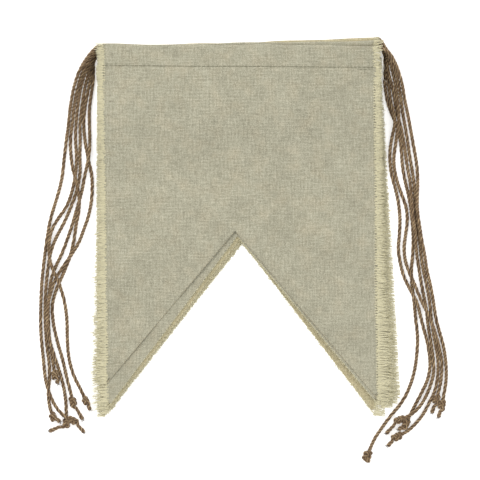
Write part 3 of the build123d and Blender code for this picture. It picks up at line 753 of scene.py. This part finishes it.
def cloth(flag):
    """One pennant's cloth: its folded header and its two tails, as thick as the CAD panel."""
    left_edge, right_edge, notch_left, notch_right, ls, as_, rs = edges(flag)
    rows = fold_rows()
    columns = 46
    seam = [12.95, 13.4, 14.2, 15.4]
    sides = []
    for side, length in (("left", ls), ("right", rs)):
        tail = np.linspace(as_, length - TIP_CUT, 62)[1:]
        below = np.concatenate([seam, np.linspace(DRAPE_START + 0.8, as_, 60), tail])
        sides.append((side, [(s, None) for s in below]))
    verts, faces, uvs = [], [], []
    for side, below in sides:
        start = len(verts)
        all_rows = rows + below
        travelled = 0
        previous = None
        for s, z in all_rows:
            if side == "left":
                outer, inner = left_edge(np.array(s)), notch_left(np.array(s))
            else:
                outer, inner = right_edge(np.array(s)), notch_right(np.array(s))
            outer, inner = float(outer), float(inner)
            inset = (1.6 if side == "left" else 0.3) * float(smooth((7.0 - s) / 9.0))
            outer += inset if side == "left" else -inset
            t = np.linspace(0, 1, columns) ** 0.85
            x = outer + (inner - outer) * t
            if z is None:
                height = body_height(flag, np.full(columns, s)) + looseness(flag, x, s)
                groove = SEAM_DENT * math.exp(-((s - SEAM_LINE) / 0.45) ** 2)
                height = height - groove
            else:
                wave = 0.16 * np.sin(x * 0.09 + flag) + 0.12 * np.sin(x * 0.23 + 2 * flag)
                bulge = math.sin(min(max((CHANNEL_DEPTH - s) / CHANNEL_DEPTH, 0), 1) * math.pi / 2)
                height = np.full(columns, z) + (0.05 * wave * bulge if z > 0 else 0)
            waver = 0.35 * np.sin(x * 0.05 + flag * 1.7) + 0.2 * np.sin(x * 0.13 + flag)
            reach = -s + waver * float(smooth((12 - s) / 12))
            here = (s, z if z is not None else 0.0)
            if previous is not None:
                travelled += math.hypot(here[0] - previous[0], here[1] - previous[1])
            previous = here
            for xx, hh, yy in zip(x, height, np.broadcast_to(reach, (columns,))):
                verts.append((xx, yy, hh))
                uvs.append((xx, travelled))
        for r in range(len(all_rows) - 1):
            for c in range(columns - 1):
                a = start + r * columns + c
                quad = (a, a + 1, a + columns + 1, a + columns)
                faces.append(quad if side == "left" else quad[::-1])
    name = f"pennant_cloth_{flag + 1}"
    mesh = bpy.data.meshes.new(name)
    mesh.from_pydata(to_row(from_header(flag, verts)).tolist(), [], faces)
    layer = mesh.uv_layers.new(name="UVMap")
    corner = np.zeros(len(mesh.loops), dtype=int)
    mesh.loops.foreach_get("vertex_index", corner)
    layer.data.foreach_set("uv", np.array(uvs)[corner].ravel())
    mesh.polygons.foreach_set("use_smooth", [True] * len(mesh.polygons))
    mesh.materials.append(linens[flag])
    mesh.update()
    piece = bpy.data.objects.new(name, mesh)
    scene.collection.objects.link(piece)
    bpy.context.view_layer.objects.active = piece
    weld = piece.modifiers.new("weld", "WELD")
    weld.merge_threshold = 0.00002
    thick = piece.modifiers.new("thickness", "SOLIDIFY")
    thick.thickness = CLOTH * MM
    thick.offset = 0
    for m in ("weld", "thickness"):
        with bpy.context.temp_override(object=piece, active_object=piece, selected_objects=[piece]):
            bpy.ops.object.modifier_apply(modifier=m)
    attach(piece, f"pennant_{flag + 1}")
    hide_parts(f"panel_{flag + 1}")
    return piece


def surface(flag, x, s):
    """Height of the cloth's upper face over its twine's axis."""
    s = np.asarray(s, dtype=float)
    return body_height(flag, s) + CLOTH / 2 + looseness(flag, x, s)


def fringe(flag):
    """Weft ends that stand out where the side edges have frayed, and the warps still among them."""
    soup, warps = Soup(), Soup()
    left_edge, right_edge, _, _, ls, _, rs = edges(flag)
    for sign, edge, length in ((-1, left_edge, ls), (1, right_edge, rs)):
        s = -1.6
        while s < length - 1.5:
            s += rng.uniform(0.26, 0.46)
            share = s / length
            reach = 1.8 + 4.6 * share + 2.0 * smooth((share - 0.5) / 0.5)
            if s < 20:
                reach = 2.9 + 1.6 * float(smooth((7 - s) / 7))
            reach *= rng.uniform(0.62, 1.22)
            if flag > 1:
                reach = min(reach, 3.6 if sign < 0 else 2.6 + 3.2 * share)
            if s > 40 and rng.random() < 0.03:
                reach *= 1.35
            root = float(edge(np.array(s)))
            top = float(surface(flag, root, s)) - 0.06
            if s < CHANNEL_DEPTH:
                root -= sign * 0.8
                top = FOLD_MID + 0.22 - (FOLD_MID - CLOTH / 2) * abs(s) / CHANNEL_DEPTH
            t = np.linspace(0, 1, 6)
            bend = rng.normal(0, 0.35) * reach * 0.3 + share * reach * 0.10
            inner = rng.uniform(0.8, 2.8)
            x = root + sign * (-inner + (reach + inner) * t)
            y = -s - bend * t ** 2 + rng.normal(0, 0.12) * np.sin(t * 5)
            low = -axis_height(flag) + 0.22
            sag = 0.25 * t ** 2 if flag > 1 else 0.0
            z = np.maximum(top - sag + rng.normal(0, 0.10) * t + 0.12, low)
            if flag < 2:
                z = np.maximum(z, -axis_height(flag) + 2.75 * smooth((t - 0.35) * 3))
            line = from_header(flag, np.stack([x, y, z], axis=1))
            soup.tube(line, rng.uniform(0.16, 0.26) * np.array([1, 1, 1, 0.95, 0.85, 0.55]), 4)
            if rng.random() < 0.55:
                t = np.linspace(0.45, 1, 4)
                fan = rng.normal(0, 0.22) * reach
                stray = np.stack([np.interp(t, np.linspace(0, 1, 6), part) for part in (x, y, z)], axis=1)
                stray[:, 1] += fan * (t - 0.45) ** 1.3
                stray[:, 2] += 0.08
                soup.tube(from_header(flag, stray), 0.10, 3)
        for offset, first, last in ((0.75, 22, 0.985), (1.75, 60, 0.96)):
            along = np.arange(first, length * last, 0.45)
            x = np.array([float(edge(np.array(q))) for q in along])
            x = x + sign * (offset + 0.22 * np.sin(along * 0.21 + flag))
            z = surface(flag, x, along) - CLOTH / 2 + 0.28 * np.sin(along * math.pi / 0.9)
            z = np.maximum(z, -axis_height(flag) + 0.25)
            warps.tube(from_header(flag, np.stack([x, -along, z], axis=1)), 0.19, 4)
    piece = soup.build(f"fringe_{flag + 1}", fringe_look, f"pennant_{flag + 1}")
    loose = warps.build(f"edge_warps_{flag + 1}", warp_look, f"pennant_{flag + 1}")
    return [piece, loose]


def notch_fray(flag):
    """Short cut ends along the swallowtail's two slanting edges, with a few long ones."""
    soup = Soup()
    _, _, notch_left, notch_right, ls, as_, rs = edges(flag)
    for sign, inner, length in ((-1, notch_left, ls), (1, notch_right, rs)):
        s = as_ + 0.4
        while s < length - 1.0:
            s += rng.uniform(0.35, 0.8) if flag == 0 else rng.uniform(0.2, 0.42)
            root = float(inner(np.array(s)))
            fuller = 0.8 if flag == 0 else 1.9
            reach = rng.uniform(0.5, 1.5) * fuller if rng.random() > 0.04 else rng.uniform(2.0, 4.5)
            down = rng.random() < 0.5
            t = np.linspace(0, 1, 4)
            turn = rng.normal(0, 0.3)
            dx = (-sign if not down else 0.25 * turn) * reach
            dy = (-reach if down else 0.4 * turn * reach)
            x = root + sign * 0.5 + dx * t
            y = -s + 0.3 + dy * t
            z = surface(flag, root, s) - CLOTH / 2 + 0.05 * t
            line = np.stack([x, y, np.broadcast_to(z, x.shape)], axis=1)
            soup.tube(from_header(flag, line), 0.13 * np.array([1, 1, 0.9, 0.6]), 3)
        along = np.arange(as_ + 1, length - 1, 0.6)
        x = np.array([float(inner(np.array(q))) for q in along]) + sign * 0.15
        z = surface(flag, x, along) - CLOTH / 2 + 0.1 * np.sin(along * 3.1)
        soup.tube(from_header(flag, np.stack([x, -along, z], axis=1)), 0.20 + 0.05 * np.sin(along * 2.3), 5)
    piece = soup.build(f"notch_fray_{flag + 1}", fringe_look if flag else warp_look, f"pennant_{flag + 1}")
    return piece


def stitches(flag):
    """The row of lockstitches that closes the channel, with a short back-tack at each end; the thread's
    dark colour is partly its own and partly painted shade of the seam's groove.
    """
    soup = Soup()
    half = HEADER_WIDTH / 2 - SEAM_INSET
    runs = [(-half, half, SEAM_LINE, 1.0), (-half + 0.4, -half + 7.5, SEAM_LINE - 1.1, 0.8),
            (half - 9.0, half - 0.5, SEAM_LINE + 1.3, 1.35)]
    for first, last, s, weight in runs:
        x = first
        while x < last:
            size = min(2.5, last - x + 0.5)
            t = np.linspace(0, 1, 7)
            z = CLOTH + 0.02 + 0.13 * np.sin(t * math.pi)
            y = -s + 0.05 * np.sin(x * 0.07) + 0.04 * np.sin(t * 3)
            line = np.stack([x + size * t, np.broadcast_to(y, t.shape), z], axis=1)
            soup.tube(from_header(flag, line), 0.17 * weight * np.array([0.6, 0.9, 1, 1, 1, 0.9, 0.6]), 5)
            x += size + 0.35
    piece = soup.build(f"lockstitch_{flag + 1}", stitch_thread_and_painted_shade_look, f"pennant_{flag + 1}")
    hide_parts(f"header_seam_{flag + 1}")
    return piece


def ladder():
    """Columns near the top cloth's side edges where a few threads have been pulled out; a dark strip under
    the rungs is painted shade where the threads are missing.
    """
    rungs, painted_shade_strip = Soup(), Soup()
    left_edge, right_edge, _, _, ls, _, rs = edges(0)
    for edge, sign, first, last in ((right_edge, 1, 20.5, rs - 9), (left_edge, -1, 12.0, 24.0),
                                    (left_edge, -1, ls - 34, ls - 15)):
        along = np.arange(first, last, 0.9)
        middle = np.array([float(edge(np.array(q))) for q in along])
        middle = middle - sign * (1.9 + 0.25 * np.sin(along * 0.05))
        z = surface(0, middle, along) + 0.02
        # a dark strip of painted shade under the rungs
        painted_shade_strip.tube(from_header(0, np.stack([middle, -along, z - 0.30], axis=1)), 0.62, 6, flat=0.55)
        for q, x, height in zip(along[::2], middle[::2], z[::2]):
            wide = rng.uniform(0.9, 1.35)
            t = np.linspace(-1, 1, 5)
            y = -q + 0.12 * rng.normal() * t
            line = np.stack([x + wide * t, y, height + 0.20 - 0.12 * t ** 2], axis=1)
            rungs.tube(from_header(0, line), 0.30 * np.array([0.7, 1, 1, 1, 0.7]), 5)
    pieces = [rungs.build("ladder_rungs", fringe_look, "pennant_1"),
              painted_shade_strip.build("ladder_painted_shade_strip", gap_painted_shade_look, "pennant_1")]
    return pieces


def loose_loops():
    """A pale sewing thread left hanging in small loops at the top header's right end."""
    soup = Soup()
    half = HEADER_WIDTH / 2
    first = [(-1.5, -3, 1.3), (2.6, -3.6, 1.6), (4.4, -6.5, 1.2), (3.0, -10.5, 0.9), (4.2, -14.5, 0.4),
             (1.5, -16.0, 0.5)]
    second = [(-0.5, -8, 1.0), (3.4, -9.5, 1.3), (4.8, -13.0, 0.6), (3.4, -18.0, 0.3), (4.6, -22.0, 0.0)]
    for plan in (first, second):
        line = from_header(0, [(half + x, y, z) for x, y, z in plan])
        soup.tube(resample(spline_line(line), 0.5)[0], 0.13, 5)
    piece = soup.build("loose_thread", white_look, "pennant_1")
    return piece


def flat_area(flag):
    """Area of the cut cloth in square metres: the swallowtail, the fold and the hem."""
    left_edge, right_edge, notch_left, _, ls, as_, rs = edges(flag)
    half = HEADER_WIDTH / 2
    shape = [(-half, 0), (half, 0), (float(right_edge(np.array(rs))), rs),
             (float(notch_left(np.array(as_))), as_), (float(left_edge(np.array(ls))), ls)]
    twice = sum(a[0] * b[1] - b[0] * a[1] for a, b in zip(shape, shape[1:] + shape[:1]))
    return (abs(twice) / 2 + HEADER_WIDTH * (HEM_END + math.pi * FOLD_MID)) * MM * MM, max(ls, rs)


for flag in range(FLAGS):
    piece = cloth(flag)
    trims = fringe(flag) + [notch_fray(flag), stitches(flag)]
    if flag == 0:
        trims += [loose_loops()] + ladder()
    area, length = flat_area(flag)
    size = ((HEADER_WIDTH + FRINGE_WIDTH) * MM, (length + HEM_END + math.pi * FOLD_MID) * MM)
